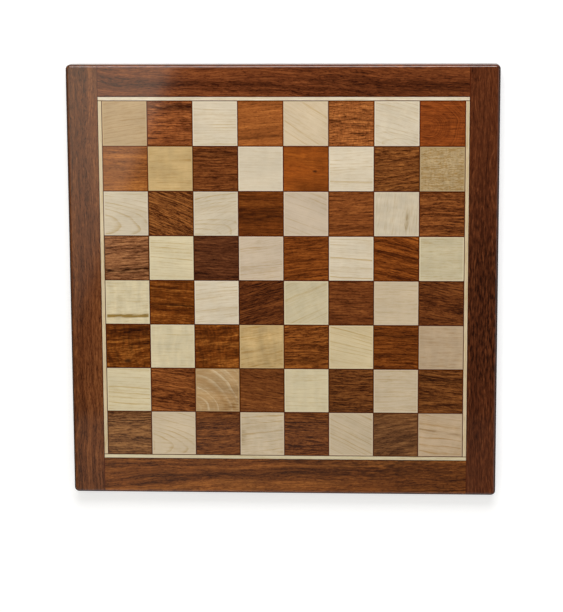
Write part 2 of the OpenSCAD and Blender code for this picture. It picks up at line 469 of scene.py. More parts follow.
def wood_figure():
    """Solid timber: growth rings round a pith, bands that follow them, fibres, pores and cross figure.
    Positions are in millimetres, with X along the grain, Y across it and Z into the plank. Pith gives how
    far aside and how deep the pith runs and how much it tilts. Temper gives how strong the lines and the
    fibres are, and how much cross figure is added."""
    outputs = {"Colour": COLOUR, "Relief": NUMBER}
    group, t, given, result = new_group("ShaderNodeTree", "Wood figure", WOOD_INPUTS, outputs)
    at = given["At"]
    temper = t.axes(given["Temper"])
    bent = bent_grain(t, at, given["Wander"], given["Ripple"])
    place = t.axes(bent)

    knot_size = t.axes(given["Knot"])["Z"]
    from_knot = knot_distance(t, at, given["Knot"])
    swell = t.product(knot_size, KNOT_SWELL, t.bell(from_knot, KNOT_REACH))
    radius = t.total(ring_radius(t, place, t.axes(given["Pith"])), swell)
    along = t.math("DIVIDE", place["X"], given["Grain length"])
    out = t.math("DIVIDE", radius, given["Band pitch"])
    band = t.noise(t.whole(along, out, 0.0), (1.0, 1.0, 1.0), detail=5.0, roughness=0.66)
    line = year_lines(t, at, radius, given["Ring pitch"])
    lines = t.total(t.product(line, given["Ring line"]), t.veins(band, *BAND_EDGES, given["Bands"]))

    fibre = t.noise(bent, LONG_FIBRES, detail=3.0, roughness=0.7)
    fleck = t.noise(bent, SHORT_FLECKS, detail=3.0, roughness=0.7)
    pore = t.product(t.ramp(t.noise(bent, OPEN_PORES, detail=1.0), *PORE_EDGES), given["Pores"])
    fibres = t.veins(fibre, *FIBRE_EDGES, given["Fibre"])
    flecks = t.veins(fleck, *FLECK_EDGES, t.product(given["Fibre"], FLECK_SHARE))
    fine = t.total(fibres, flecks, pore)

    tone = t.total(t.product(lines, temper["X"]), t.product(fine, temper["Y"]))
    darker = t.math("MAXIMUM", tone, 0.0, clamp=True)
    lighter = t.math("MULTIPLY", tone, -1.0, clamp=True)
    colour = t.blend(lighter, given["Clear"], given["Glow"])
    colour = t.blend(darker, colour, given["Streak"])
    deep = t.blend(1.0, given["Streak"], DEEP_STREAK, way="MULTIPLY")
    streak_share = own_streak_share(t, at, place, t.axes(given["Own streak"]), t.axes(given["Own reach"]))
    colour = t.blend(streak_share, colour, deep)
    present = t.ramp(knot_size, *SMALLEST_KNOT)
    heart = t.product(t.ramp(from_knot, *HEART_EDGES, 1.0, 0.0), present, KNOT_COVER)
    colour = t.blend(heart, colour, KNOT_HEART)

    cloud = t.swing(t.noise(at, SOFT_CLOUDS), given["Cloud"])
    cross = t.math("DIVIDE", 1.0, given["Curl pitch"])
    curl = t.noise(bent, t.whole(cross, t.product(cross, CURL_STRETCH), CURL_DEPTH))
    curl = t.swing(curl, t.total(given["Curl"], temper["Z"]))
    t.feed(result["Colour"], t.times(colour, t.total(given["Shade"], cloud, curl)))
    t.feed(result["Relief"], t.math("SUBTRACT", fibre, pore))
    return group


# Where a dark line along a side starts and where it is full, in its own widths beyond the side
LINE_START = -1.6
LINE_FULL = -0.6


def edge_line():
    """One along the sides of a rectangle and nought inside it. The line fades in over one width."""
    inputs = {
        "At": (VECTOR, ORIGIN),
        "Centre": (VECTOR, ORIGIN),
        "Half size": (VECTOR, (25.0, 25.0, 0.0)),
        "Width": (NUMBER, 0.3),
    }
    group, t, given, result = new_group("ShaderNodeTree", "Edge line", inputs, {"Line": NUMBER})
    away = t.vector("ABSOLUTE", t.vector("SUBTRACT", given["At"], given["Centre"]))
    beyond = t.axes(t.vector("SUBTRACT", away, given["Half size"]))
    nearest = t.math("MAXIMUM", beyond["X"], beyond["Y"])
    inner = t.product(given["Width"], LINE_START)
    outer = t.product(given["Width"], LINE_FULL)
    t.feed(result["Line"], t.ramp(nearest, inner, outer))
    return group


# Each family of timbers: how its streaks and its glow shift the clear colour, and how its figure differs
# from the defaults above.
PALE = {
    "streak": (0.78, 0.66, 0.45),
    "glow": (1.12, 1.14, 1.20),
    "figure": {
        "Wander": 11.0,
        "Ripple": 1.2,
        "Ring pitch": 3.4,
        "Ring line": 0.9,
        "Band pitch": 14.0,
        "Fibre": 0.4,
        "Cloud": 0.10,
        "Curl": 0.03,
    },
}
DARK = {
    "streak": (0.24, 0.18, 0.14),
    "glow": (1.95, 2.3, 2.4),
    "figure": {
        "Wander": 12.0,
        "Ripple": 2.0,
        "Ring pitch": 5.5,
        "Ring line": 0.12,
        "Bands": 0.42,
        "Fibre": 0.66,
        "Pores": 0.45,
        "Cloud": 0.16,
        "Curl": 0.04,
    },
}

# Each timber of the field: its family, the squares that are cut from it, and what sets it apart
FIELD_TIMBERS = {
    "white_maple": (PALE, "c8 g8 f7 d7 f5 c4", {}),
    "cream_maple": (PALE, "a6 c6 g6", {}),
    "pink_maple": (PALE, "d5 e6", {"Ring line": 0.4}),
    "straw_maple": (PALE, "b3 a2 e2 a4 h5 b5 e4", {}),
    "honey_maple": (PALE, "f3", {}),
    "tan_maple": (PALE, "b1 d1 f1 g2 e8 g4", {}),
    "sandy_maple": (PALE, "a8", {}),
    "beige_maple": (PALE, "h1 h3", {}),
    "yellow_maple": (PALE, "b7 d3", {"Cloud": 0.3}),
    "olive_maple": (PALE, "h7", {
        "Fibre": 1.0, "Pores": 1.6, "Ring line": 0.2, "Ripple": 3.0, "Curl": 0.2, "Curl pitch": 2.0,
    }),
    "caramel_maple": (PALE, "c2", {
        "Glow": opaque(tint(225, 205, 170)), "Streak": opaque(tint(160, 115, 65)), "Bands": 0.25,
        "Fibre": 0.2, "Ring line": -0.5, "Ring pitch": 8.0, "Wander": 16.0, "Cloud": 0.35,
    }),
    "amber_walnut": (DARK, "e7", {
        "Bands": 0.25, "Ring line": 0.0, "Fibre": 0.2, "Pores": 0.2, "Cloud": 0.6,
    }),
    "figured_walnut": (DARK, "f8", {
        "Bands": 0.2, "Band pitch": 5.0, "Grain length": 40.0, "Fibre": 0.4, "Curl": 0.4, "Curl pitch": 1.6,
    }),
    "flame_walnut": (DARK, "a3 c3 b4", {
        "Glow": opaque(tint(190, 115, 45)), "Bands": 0.6, "Band pitch": 6.0, "Grain length": 120.0,
        "Ripple": 4.0, "Curl": 0.3, "Curl pitch": 3.2,
    }),
    "orange_walnut": (DARK, "d8", {"Bands": 0.35, "Fibre": 0.3}),
    "copper_walnut": (DARK, "b8", {"Band pitch": 5.0, "Grain length": 110.0}),
    "swirled_walnut": (DARK, "h8", {
        "Bands": 0.15, "Band pitch": 3.0, "Ring pitch": 1.8, "Ring line": 0.4, "Wander": 14.0,
    }),
    "red_walnut": (DARK, "f6 h6 b2 e1", {}),
    "russet_walnut": (DARK, "e5 g5 g3 d6", {}),
    "chocolate_walnut": (DARK, "c7 h4 f4", {}),
    "sable_walnut": (DARK, "c5", {}),
    "black_walnut": (DARK, "d4", {}),
    "golden_walnut": (DARK, "g7 b6 h2", {
        "Band pitch": 3.5, "Grain length": 70.0, "Wander": 16.0, "Ripple": 3.0,
    }),
    "toffee_walnut": (DARK, "e3", {"Grain length": 120.0}),
    "rosy_walnut": (DARK, "a7", {"Fibre": 0.32}),
    "umber_walnut": (DARK, "d2 f2 c1", {}),
    "ash_walnut": (DARK, "a1 g1", {"Fibre": 0.7}),
    "dusky_walnut": (DARK, "a5", {"Fibre": 0.7}),
}


class Cut(NamedTuple):
    """How a square was cut, as far as it shows. Lengths are in millimetres from the middle of the square."""

    # The slope of its grain in degrees, how strong its lines and its flecks are, and how light it is
    # beside its timber
    turn: float
    lines: float = 1.0
    fleck: float = 1.0
    shade: float = 1.0
    # Added cross figure
    curl: float = 0.0
    # How far below the middle and how deep the pith runs, and its tilt. Without it, chance sets a far one.
    pith: tuple = None
    # A dark streak: how far above the middle it lies, its half width and its strength
    streak: tuple = (0.0, 1.0, 0.0)
    # Where along the grain the streak is strongest, and its half length
    reach: tuple = (0.0, ENDLESS)
    # A knot: its place along and across the grain, and its size
    knot: tuple = ORIGIN


CUTS = {
    "a8": Cut(9, 0.8, 0.8, 0.93),
    "b8": Cut(1, 1.3, 1.0, 0.98, streak=(18, 4.5, 0.8)),
    "c8": Cut(0, 1.0, 0.6, 0.98, pith=(110, 15, 0.02)),
    "d8": Cut(4, 1.0, 0.8, streak=(-15, 1.6, 0.45)),
    "e8": Cut(-30, 0.6, 0.5, 1.1),
    "f8": Cut(1, 1.2, 1.4, 1.12),
    "g8": Cut(-20, 0.7, 0.6, 0.96, curl=0.03, pith=(30, 20, -0.2)),
    "h8": Cut(0, 1.2, 0.5, 0.98, pith=(4, 9, 0.8)),
    "a7": Cut(-2, 1.0, 0.8, 0.97, curl=0.05, streak=(1, 3.0, 0.3)),
    "b7": Cut(2, 0.5, 0.8, 1.05, curl=0.05),
    "c7": Cut(-1, 0.8, streak=(18, 5.0, 0.3)),
    "d7": Cut(0, 0.35, 0.4, 0.96, pith=(90, 60, 0.0)),
    "e7": Cut(-4, 1.2, 1.0, 1.14, curl=0.12, knot=(10, -2, 3.0)),
    "f7": Cut(0, 0.9, 0.6, 1.03, pith=(100, 12, 0.0)),
    "g7": Cut(6, 0.8, 1.1, 0.95, curl=0.05),
    "h7": Cut(0, 0.6, 1.0, 1.04),
    "a6": Cut(-3, 0.9, 0.6, pith=(15, 16.5, 0.22)),
    "b6": Cut(-22, 1.4, 1.5, 1.02),
    "c6": Cut(22, 1.0, 0.5, pith=(25, 22, 0.3)),
    "d6": Cut(2, 1.2, 0.6, 0.71, curl=0.1, streak=(-1, 7.0, 0.5)),
    "e6": Cut(-20, 0.9, 0.5, 0.95),
    "f6": Cut(3, 0.5, 0.8, 1.1, streak=(-15, 4.0, 0.25)),
    "g6": Cut(82, 0.4, 0.6, 0.98, curl=0.08, streak=(-12, 2.4, 1.0), reach=(-8, 10.0)),
    "h6": Cut(0, 1.2, 1.2, 0.94, streak=(5, 1.5, 0.4)),
    "a5": Cut(2, 0.8, 1.0, 1.46, streak=(-12, 4.0, 0.9)),
    "b5": Cut(-1, 1.0, 0.6, 1.05, pith=(110, 15, 0.02)),
    "c5": Cut(-2, 1.4, 0.8, 0.95),
    "d5": Cut(7, 0.8, 0.7, 0.96),
    "e5": Cut(4, 0.7, 0.9, 0.92),
    "f5": Cut(-3, 1.2, 0.6, pith=(85, 14, 0.0)),
    "g5": Cut(-13, 1.4, 0.9, 0.98),
    "h5": Cut(0, 0.4, 0.9, 0.87, curl=0.02),
    "a4": Cut(1, 0.4, 0.9, 1.02, curl=0.12, streak=(-17, 1.3, 3.0)),
    "b4": Cut(-4, 1.0, 0.6, 0.95, streak=(-5, 2.5, 0.7)),
    "c4": Cut(6, 0.9, 0.7, 0.99, pith=(95, 15, 0.0)),
    "d4": Cut(17, 1.6, 1.1, 0.92),
    "e4": Cut(25, 0.5, 0.5, 0.9, curl=0.06),
    "f4": Cut(0, 0.4, 0.8),
    "g4": Cut(0, 0.4, 0.6),
    "h4": Cut(-8, 0.9, 1.1, 0.8),
    "a3": Cut(3, 0.9, 0.6, 0.83, curl=0.2, streak=(17, 6.0, 0.7), reach=(8, 20.0), knot=(-2, -17, 5.0)),
    "b3": Cut(0, 0.4, 0.6, curl=0.11),
    "c3": Cut(6, 0.8, 0.6, curl=0.2, streak=(-1, 4.0, 0.5), reach=(12, 14.0)),
    "d3": Cut(9, 0.8, 1.2, 1.04, curl=0.15, streak=(-20, 9.0, 0.3)),
    "e3": Cut(4, 0.8, 1.1, 1.06, streak=(-15, 5.0, 0.35)),
    "f3": Cut(-16, 1.0, 0.5, 0.98, pith=(45, 20, -0.1)),
    "g3": Cut(-3, 0.9, 1.0, 0.75, streak=(13, 1.6, 0.5)),
    "h3": Cut(0, 0.4, 0.9, curl=0.05),
    "a2": Cut(-3, 0.9, 0.6, 1.04, pith=(60, 25, 0.03)),
    "b2": Cut(-8, 1.3, 1.1, 0.97),
    "c2": Cut(0, 1.0, 1.0, 1.07, curl=0.04, pith=(28, 25, 1.0), streak=(-16, 24.0, 0.6), reach=(24, 24.0)),
    "d2": Cut(-8, 0.6, 0.7, 1.2),
    "e2": Cut(1, 0.5, 0.6, 0.98, curl=0.03),
    "f2": Cut(0, 1.1, 1.3, 0.9),
    "g2": Cut(0, 0.7, 0.8, 0.97),
    "h2": Cut(-5, 1.4, 1.0, 0.8, streak=(12, 5.0, 0.5)),
    "a1": Cut(1, 0.9, 1.2, 1.05),
    "b1": Cut(-3, 1.0, 0.6, 1.02, pith=(16, 19.0, 0.22)),
    "c1": Cut(6, 1.0, 1.0, 1.22, streak=(17, 6.0, 0.4), knot=(9, 15, 1.0)),
    "d1": Cut(5, 1.0, 1.0, 0.98, curl=0.05, streak=(-2, 10.0, 0.5), reach=(-23, 6.0)),
    "e1": Cut(-2, 0.8, 1.2, 0.68),
    "f1": Cut(-26, 0.9, 0.5, 0.93, pith=(60, 12, 0.02)),
    "g1": Cut(8, 0.9, 0.7, 0.94, pith=(35, 20, -0.3)),
    "h1": Cut(-10, 1.6, 0.7, 1.13, curl=0.04, streak=(2, 1.4, 0.5)),
}


# The lacquer's roughness over low and high grain, and how deep the grain shows through it
GRAIN_HEIGHTS = (0.25, 0.75)
LACQUER_ROUGHNESS = (0.07, 0.045)
LACQUER_RELIEF = {"Strength": 0.01, "Distance": 0.0004}
LACQUER_SPECULAR = 0.5
BARE_ROUGHNESS = 0.55
BARE_SPECULAR = 0.3

# The rims of the squares: their widths in glue lines, and how they shift the clear colour. The dark rim
# darkens the dark squares along their joints; the pale rim is a painted highlight inside the glue line of
# the pale squares.
DARK_RIM = 2.2
DARK_RIM_SHIFT = (0.45, 0.3, 0.15)
PALE_RIM = 4.0
PALE_RIM_PAINTED_HIGHLIGHT = (1.08, 1.08, 1.08)
PALE_RIM_GLUE = 1.2

# The painted shade on the outer arrises of the frame: its width in millimetres, how it darkens the clear
# colour, and how much rougher the arrises are. This painted shade and the glue lines set in between two
# heights, in millimetres.
ARRIS_WIDTH = 1.5
ARRIS_PAINTED_SHADE = (0.2, 0.2, 0.2)
ARRIS_DULLING = 0.7
RIM_HEIGHTS = (17.0, 20.0)


def shifted(colour, shares):
    """A colour whose red, green and blue are multiplied by three shares, up to full light."""
    return [min(1.0, c * s) for c, s in zip(colour, shares)]


def new_material(name):
    """An empty node material. Returns it with its tree and its shader."""
    material = bpy.data.materials.new(name)
    material.use_nodes = True
    return material, Tree(material.node_tree), material.node_tree.nodes["Principled BSDF"]


def wood_nodes(t, shader, clear, family, changes, finish="lacquer"):
    """Adds a timber's figure to a material and sets its finish. Returns the figure node."""
    figure = t.add("ShaderNodeGroup", node_tree=bpy.data.node_groups["Wood figure"])
    settings = {
        "Clear": opaque(clear),
        "Streak": opaque(shifted(clear, family["streak"])),
        "Glow": opaque(shifted(clear, family["glow"])),
        **family["figure"],
        **changes,
    }
    for label, value in settings.items():
        figure.inputs[label].default_value = value
    t.feed(shader.inputs["Base Color"], figure.outputs["Colour"])
    if finish == "lacquer":
        relief = figure.outputs["Relief"]
        t.feed(shader.inputs["Roughness"], t.ramp(relief, *GRAIN_HEIGHTS, *LACQUER_ROUGHNESS))
        bump = t.add("ShaderNodeBump", {"Height": relief, **LACQUER_RELIEF})
        t.feed(shader.inputs["Normal"], bump.outputs["Normal"])
        shader.inputs["Specular IOR Level"].default_value = LACQUER_SPECULAR
    else:
        shader.inputs["Roughness"].default_value = BARE_ROUGHNESS
        shader.inputs["Specular IOR Level"].default_value = BARE_SPECULAR
    return figure


def edge_share(t, at, centre, half_size, width):
    """One along the sides of a rectangle, given in millimetres, and nought inside it."""
    line = t.add("ShaderNodeGroup", node_tree=bpy.data.node_groups["Edge line"])
    for label, value in {"At": at, "Centre": centre, "Half size": half_size, "Width": width}.items():
        t.feed(line.inputs[label], value)
    return line.outputs["Line"]


def edge_colour(t, shader, share, colour, dulled=0.0):
    """Mixes another colour into a shader along an edge, and may dull the finish there."""
    before = shader.inputs["Base Color"].links[0].from_socket
    t.feed(shader.inputs["Base Color"], t.blend(share, before, opaque(colour)))
    if dulled and shader.inputs["Roughness"].is_linked:
        rough = shader.inputs["Roughness"].links[0].from_socket
        t.feed(shader.inputs["Roughness"], t.total(rough, t.product(share, dulled)))


def square_timber(name, family, changes):
    """A timber that follows the plank coordinates stored on each square."""
    colours = bpy.context.scene.timber_colours
    clear = getattr(colours, name)
    material, t, shader = new_material(name)
    figure = wood_nodes(t, shader, clear, family, changes)

    def stored(label):
        return t.add("ShaderNodeAttribute", attribute_name=label.lower().replace(" ", "_")).outputs

    t.feed(figure.inputs["At"], stored("Grain at")["Vector"])
    for label in ("Pith", "Temper", "Knot", "Own streak", "Own reach"):
        t.feed(figure.inputs[label], stored(label)["Vector"])
    t.feed(figure.inputs["Shade"], stored("Shade")["Fac"])

    glue_width = bpy.context.scene.board_sizes.glue_width * MM
    # Dark squares darken along their joints; pale squares get a painted highlight along their edges, then
    # the glue line.
    if family is DARK:
        rims = ((DARK_RIM, shifted(clear, DARK_RIM_SHIFT)),)
    else:
        rims = ((PALE_RIM, shifted(clear, PALE_RIM_PAINTED_HIGHLIGHT)), (PALE_RIM_GLUE, colours.glue))
    place = stored("Square at")["Vector"]
    half = SQUARE_SIDE * MM / 2
    for widths, colour in rims:
        share = edge_share(t, place, ORIGIN, (half, half, 0.0), glue_width * widths)
        edge_colour(t, shader, share, colour)
    return material


def member_timber(
    name, clear, family, changes, turn=0.0, shift=ORIGIN, glue_box=None, painted_shade_outline=None, finish="lacquer"
):
    """A timber on Object coordinates, with its grain turned along the member. It darkens with glue lines
    where it meets the pieces beside it, at the sides of glue_box, and with painted shade on the outer
    arrises of the board, along the sides of the box given for them."""
    scene = bpy.context.scene
    material, t, shader = new_material(name)
    figure = wood_nodes(t, shader, clear, family, changes, finish)
    position = t.add("ShaderNodeTexCoord").outputs["Object"]
    mapping = t.add("ShaderNodeMapping", {"Vector": position, "Scale": (MM, MM, MM), "Location": shift})
    mapping.inputs["Rotation"].default_value = (0.0, 0.0, math.radians(turn))
    t.feed(figure.inputs["At"], mapping.outputs["Vector"])
    place = t.vector("MULTIPLY", position, (MM, MM, MM))
    near_top = t.ramp(t.axes(place)["Z"], *RIM_HEIGHTS)
    # Glue lines where it meets its neighbours, and painted shade along the board's outer arrises
    edges = (
        (glue_box, scene.board_sizes.glue_width * MM, scene.timber_colours.glue, 0.0),
        (painted_shade_outline, ARRIS_WIDTH, shifted(clear, ARRIS_PAINTED_SHADE), ARRIS_DULLING),
    )
    for box, width, colour, dulled in edges:
        if box is not None:
            (x0, y0), (x1, y1) = box
            centre = ((x0 + x1) / 2 * MM, (y0 + y1) / 2 * MM, 0.0)
            half = ((x1 - x0) / 2 * MM, (y1 - y0) / 2 * MM, 0.0)
            share = t.product(edge_share(t, place, centre, half, width), near_top)
            edge_colour(t, shader, share, colour, dulled)
    return material


def dress(node, material):
    """Gives a CAD node its material."""
    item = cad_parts[node]
    item.data.materials.clear()
    item.data.materials.append(material)


# Squares


def eased_block(side, thickness, ease):
    """A square block standing on its underside, with its top and upright edges rounded."""
    shape = bmesh.new()
    bmesh.ops.create_cube(shape, size=1.0)
    for vertex in shape.verts:
        vertex.co = Vector((vertex.co.x * side, vertex.co.y * side, (vertex.co.z + 0.5) * thickness))
    worked = [e for e in shape.edges if max(v.co.z for v in e.verts) > thickness / 2]
    bmesh.ops.bevel(
        shape, geom=worked, offset=ease, offset_type="OFFSET", segments=3, profile=0.5, affect="EDGES"
    )
    return bpy.data.objects.new("eased_block", finished_mesh(shape, "eased_block"))


def square_layout():
    """Lays a block on every place of the field and stores where in its plank each point lies."""
    inputs = {
        "Cuts": (GEOMETRY, None),
        "Block": ("NodeSocketObject", None),
        "Side": (NUMBER, 0.05),
        "Files": ("NodeSocketInt", 8),
        "First corner": (VECTOR, ORIGIN),
        "Pale timber": ("NodeSocketMaterial", None),
        "Dark timber": ("NodeSocketMaterial", None),
    }
    group, t, given, result = new_group("GeometryNodeTree", "Square layout", inputs, {"Squares": GEOMETRY})

    def named(label, kind):
        node = t.add("GeometryNodeInputNamedAttribute", {"Name": label}, data_type=kind)
        return node.outputs["Attribute"]

    def store(geometry, label, kind, value):
        feeds = {"Geometry": geometry, "Name": label}
        node = t.add("GeometryNodeStoreNamedAttribute", feeds, data_type=kind, domain="POINT")
        t.feed(node.inputs["Value"], value)
        return node.outputs["Geometry"]

    def file_and_rank(number):
        file = t.math("MODULO", number, given["Files"])
        return file, t.math("FLOOR", t.math("DIVIDE", number, given["Files"]))

    number = t.add("GeometryNodeInputIndex").outputs[0]
    corner = [t.product(t.total(count, 0.5), given["Side"]) for count in file_and_rank(number)]
    place = t.vector("ADD", t.whole(*corner, 0.0), given["First corner"])
    points = t.add("GeometryNodeSetPosition", {"Geometry": given["Cuts"], "Position": place}).outputs[0]
    points = store(points, "square_number", "INT", number)

    block = t.add("GeometryNodeObjectInfo", {"Object": given["Block"]}).outputs["Geometry"]
    local = t.vector("MULTIPLY", t.add("GeometryNodeInputPosition").outputs[0], (MM, MM, MM))
    block = store(block, "square_at", "FLOAT_VECTOR", local)
    laid = t.add("GeometryNodeInstanceOnPoints", {"Points": points, "Instance": block}).outputs[0]
    solid = t.add("GeometryNodeRealizeInstances", {"Geometry": laid}).outputs[0]

    feeds = {"Vector": named("square_at", "FLOAT_VECTOR"), "Angle": named("grain_turn", "FLOAT")}
    turned = t.add("ShaderNodeVectorRotate", feeds, rotation_type="Z_AXIS").outputs[0]
    grain = t.vector("ADD", turned, named("plank_start", "FLOAT_VECTOR"))
    solid = store(solid, "grain_at", "FLOAT_VECTOR", grain)

    diagonal = t.total(*file_and_rank(named("square_number", "INT")))
    pale = t.math("GREATER_THAN", t.math("MODULO", diagonal, 2.0), 0.5)
    feeds = {"Geometry": solid, "Material": given["Dark timber"]}
    solid = t.add("GeometryNodeSetMaterial", feeds).outputs[0]
    feeds = {"Geometry": solid, "Selection": pale, "Material": given["Pale timber"]}
    t.feed(result["Squares"], t.add("GeometryNodeSetMaterial", feeds).outputs[0])
    return group


def set_inputs(modifier, values):
    """Sets a Geometry Nodes modifier's inputs by the names that its tree gives them."""
    for item in modifier.node_group.interface.items_tree:
        if item.item_type == "SOCKET" and item.in_out == "INPUT" and item.name in values:
            modifier[item.identifier] = values[item.name]


def square_name(number):
    return FILES[number % len(FILES)] + str(number // len(FILES) + 1)


def cut_points():
    """One point for each square, with the turn of its grain, where its plank is cut and what shows there."""
    chance = random.Random(bpy.context.scene.board_sizes.plank_seed)
    mesh = bpy.data.meshes.new("cuts")
    mesh.from_pydata([ORIGIN] * SQUARES, [], [])
    for name in ("grain_turn", "shade"):
        mesh.attributes.new(name, "FLOAT", "POINT")
    for name in ("plank_start", "pith", "temper", "knot", "own_streak", "own_reach"):
        mesh.attributes.new(name, "FLOAT_VECTOR", "POINT")
    for number in range(SQUARES):
        start = Vector([chance.uniform(*span) for span in PLANK_SPANS])
        far_pith = [chance.uniform(*span) for span in PITH_SPANS]
        cut = CUTS[square_name(number)]
        below, deep, tilt = cut.pith or far_pith
        above, half_width, strength = cut.streak
        along, half_length = cut.reach
        knot_along, knot_across, knot_size = cut.knot
        vectors = {
            "plank_start": start,
            "pith": (below - start.y, deep - start.z - start.x * tilt, tilt),
            "temper": (cut.lines, cut.fleck, cut.curl),
            "knot": (start.x + knot_along, start.y + knot_across, knot_size),
            "own_streak": (start.y + above, half_width, strength),
            "own_reach": (start.x + along, half_length, 0.0),
        }
        for name, vector in vectors.items():
            mesh.attributes[name].data[number].vector = vector
        mesh.attributes["grain_turn"].data[number].value = -math.radians(cut.turn)
        mesh.attributes["shade"].data[number].value = cut.shade
    return bpy.data.objects.new("squares", mesh)


def split_square(mesh, number, name):
    """The faces of one square as a mesh of its own."""
    shape = bmesh.new()
    shape.from_mesh(mesh)
    layer = shape.verts.layers.int["square_number"]
    others = [v for v in shape.verts if v[layer] != number]
    bmesh.ops.delete(shape, geom=others, context="VERTS")
    return finished_mesh(shape, name)


def attach(item, slot, *nodes):
    """Links a finished piece, rides it on the board and lets it stand for its CAD nodes."""
    bpy.context.scene.collection.objects.link(item)
    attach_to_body(item, "root")
    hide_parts(*nodes)


def square_nodes():
    """The CAD node that holds each square."""
    found = {}
    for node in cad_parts:
        if node.startswith("squares_"):
            for name in node.split("_")[1:]:
                found[name] = node
    return found


class BOARD_OT_squares(bpy.types.Operator):
    """Lay the sixty-four squares, each cut from its own timber"""

    bl_idname = "board.squares"
    bl_label = "Lay the squares"

    def execute(self, context):
        timbers = {}
        timber_of = {}
        for name, (family, squares, changes) in FIELD_TIMBERS.items():
            timbers[name] = square_timber(name, family, changes)
            for square in squares.split():
                timber_of[square] = name
        if len(timber_of) != SQUARES:
            raise RuntimeError("the timbers of the field must name every square once")

        block = eased_block(SQUARE_SIDE, SQUARE_THICK, context.scene.board_sizes.square_ease)
        cuts = cut_points()
        context.scene.collection.objects.link(cuts)
        layout = cuts.modifiers.new("Square layout", "NODES")
        layout.node_group = square_layout()
        values = {
            "Block": block,
            "Side": SQUARE_SIDE,
            "Files": len(FILES),
            "First corner": tuple(FIRST_LOW),
            "Pale timber": timbers["cream_maple"],
            "Dark timber": timbers["red_walnut"],
        }
        set_inputs(layout, values)
        laid = cuts.evaluated_get(context.evaluated_depsgraph_get())
        mesh = bpy.data.meshes.new_from_object(laid)
        cuts.modifiers.remove(layout)
        bpy.data.objects.remove(cuts)
        bpy.data.objects.remove(block)

        node_of = square_nodes()
        for number in range(SQUARES):
            square = square_name(number)
            timber = timber_of[square]
            part = split_square(mesh, number, "square_" + square)
            part.materials.clear()
            part.materials.append(timbers[timber])
            slot = "maple" if timber.endswith("maple") else "dark_square"
            attach(bpy.data.objects.new("square_" + square, part), slot, node_of[square])
        bpy.data.meshes.remove(mesh)
        return {"FINISHED"}


# Stringing, frame and lining

STRIP_TIMBER = {"Ring pitch": 2.0, "Ring line": 0.5, "Wander": 3.0, "Ripple": 0.5}
# Where in its plank a strip is cut: along it, one strip after the other, across it, and deeper each time,
# in millimetres
STRIP_LENGTH = 130.0
STRIP_ACROSS = 40.0
STRIP_DEPTH = 6.0


class BOARD_OT_stringing(bpy.types.Operator):
    """Finish the four pale strips round the field"""

    bl_idname = "board.stringing"
    bl_label = "Finish the stringing"

    def execute(self, context):
        colours = context.scene.timber_colours
        strips = {
            "top": colours.white_strip,
            "bottom": colours.cream_strip,
            "left": colours.yellow_strip,
            "right": colours.yellow_strip,
        }
        for number, (side, colour) in enumerate(strips.items()):
            node = "stringing_" + side
            low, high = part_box(node)
            turn = LEVEL if side in ("top", "bottom") else UPRIGHT
            shift = (STRIP_LENGTH * number, STRIP_ACROSS, STRIP_DEPTH * number)
            box = ((low.x, low.y), (high.x, high.y))
            dress(node, member_timber(node, colour, PALE, STRIP_TIMBER, turn, shift, box))
        return {"FINISHED"}


# Each member of the frame: the turn of its grain in degrees, where in its plank it is cut, in millimetres,
# and what sets its timber apart from that of the others
MEMBERS = {
    "stile_left": (UPRIGHT, (40.0, 20.0, 0.0), {"Band pitch": 9.0, "Own streak": (254.0, 6.0, 0.3)}),
    # The right stile's own streak darkens it along most of its length, most just below its middle, fading
    # towards its ends.
    "stile_right": (UPRIGHT, (470.0, 55.0, 4.0), {
        "Bands": 0.4, "Pores": 0.2, "Own streak": (-167.0, 60.0, 0.75), "Own reach": (430.0, 200.0, 0.0),
    }),
    "rail_top": (2.5, (220.0, 10.0, 9.0), {
        "Bands": 0.46, "Fibre": 0.5, "Own streak": (234.0, 7.0, 0.5), "Own reach": (350.0, 120.0, 0.0),
    }),
    "rail_bottom": (-1.5, (810.0, 33.0, 2.0), {
        "Bands": 0.7, "Cloud": 0.3, "Own streak": (-182.0, 18.0, 0.6), "Own reach": (920.0, 120.0, 0.0),
    }),
}
LONG_TIMBER = {"Wander": 28.0, "Band pitch": 12.0, "Fibre": 0.42, "Grain length": 600.0}


class BOARD_OT_frame(bpy.types.Operator):
    """Finish the two stiles and two rails of the frame"""

    bl_idname = "board.frame"
    bl_label = "Finish the frame"

    def execute(self, context):
        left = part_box("stringing_left")[0].x
        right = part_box("stringing_right")[1].x
        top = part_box("stringing_top")[1].y
        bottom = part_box("stringing_bottom")[0].y
        glue_boxes = {
            "stile_left": ((-AWAY, -AWAY), (left, AWAY)),
            "stile_right": ((right, -AWAY), (AWAY, AWAY)),
            "rail_top": ((left, top), (right, AWAY)),
            "rail_bottom": ((left, -AWAY), (right, bottom)),
        }
        # The board's edge, along whose outer arrises shade is painted
        painted_shade_outline = ((CAD_BOX[0][0], CAD_BOX[0][1]), (CAD_BOX[1][0], AWAY))
        for node, (turn, shift, changes) in MEMBERS.items():
            clear = getattr(context.scene.timber_colours, node)
            changes = {**LONG_TIMBER, **changes}
            dress(node, member_timber(node, clear, DARK, changes, turn, shift, glue_boxes[node], painted_shade_outline))
        return {"FINISHED"}


class BOARD_OT_lining(bpy.types.Operator):
    """Finish the core panel and the lining underneath"""

    bl_idname = "board.lining"
    bl_label = "Finish the core and lining"

    def execute(self, context):
        colours = context.scene.timber_colours
        veneer = {"Pith": (8.0, 60.0, 0.1), "Ring pitch": 5.0}
        sheets = (
            ("back_panel", "lining", LEVEL, (60.0, 0.0, 0.0)),
            ("core_panel", "plywood", UPRIGHT, (0.0, 90.0, 0.0)),
        )
        for node, name, turn, shift in sheets:
            clear = getattr(colours, name)
            dress(node, member_timber(name, clear, PALE, veneer, turn, shift, finish="bare"))
        return {"FINISHED"}


